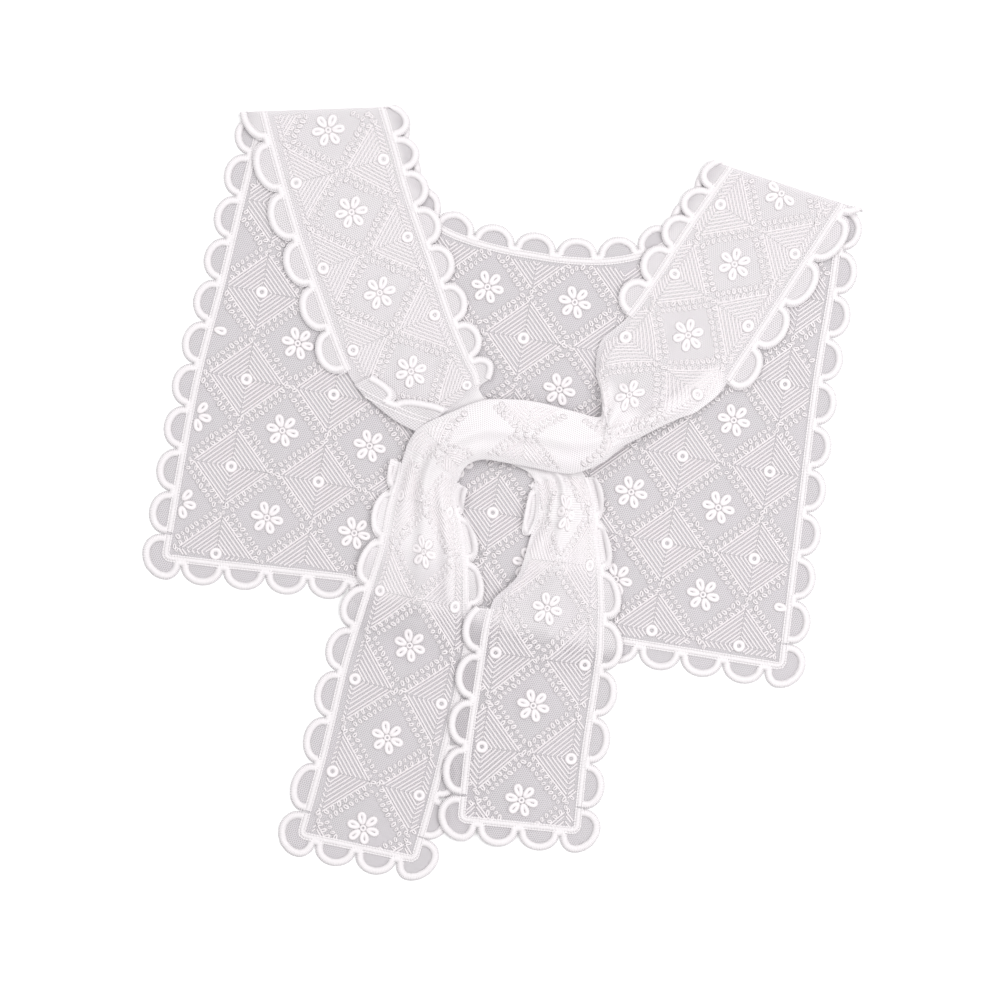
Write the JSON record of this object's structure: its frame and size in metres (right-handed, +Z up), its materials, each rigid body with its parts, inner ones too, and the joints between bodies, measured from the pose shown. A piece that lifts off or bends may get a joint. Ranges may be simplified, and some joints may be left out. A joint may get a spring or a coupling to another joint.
{
  "type": "lace collar",
  "caption": "Collar of embroidered net laid flat, with a scooped neck, two front ties crossed in a loose knot and scalloped edges all round.",
  "frame": {"origin": "centre of the bottom face of the whole collar's box, on the table it lies on", "axes": "+X along the hem towards the right tie's shoulder, +Y from the hem to the neck, +Z up from the table"},
  "size_m": [0.4052, 0.4578, 0.015],
  "materials": {
    "embroidered_net": "fine net with raised white thread, matt",
    "scallop_edging": "satin stitched cord, soft sheen"
  },
  "bodies": {
    "root": {"back_panel": "embroidered_net", "left_side_edging": "scallop_edging", "right_side_edging": "scallop_edging", "neck_edging": "scallop_edging", "hem_edging": "scallop_edging", "left_front": "embroidered_net", "left_front_outer_edging": "scallop_edging", "left_front_neck_edging": "scallop_edging", "left_front_turned_edge": "scallop_edging", "right_front": "embroidered_net", "right_front_outer_edging": "scallop_edging", "right_front_neck_edging": "scallop_edging", "knot_band": "embroidered_net", "knot_core": "embroidered_net", "left_tail": "embroidered_net", "left_tail_outer_edging": "scallop_edging", "left_tail_inner_edging": "scallop_edging", "left_tail_end_edging": "scallop_edging", "right_tail": "embroidered_net", "right_tail_outer_edging": "scallop_edging", "right_tail_upper_edging": "scallop_edging", "right_tail_inner_edging": "scallop_edging", "right_tail_end_edging": "scallop_edging"}
  },
  "joints": []
}
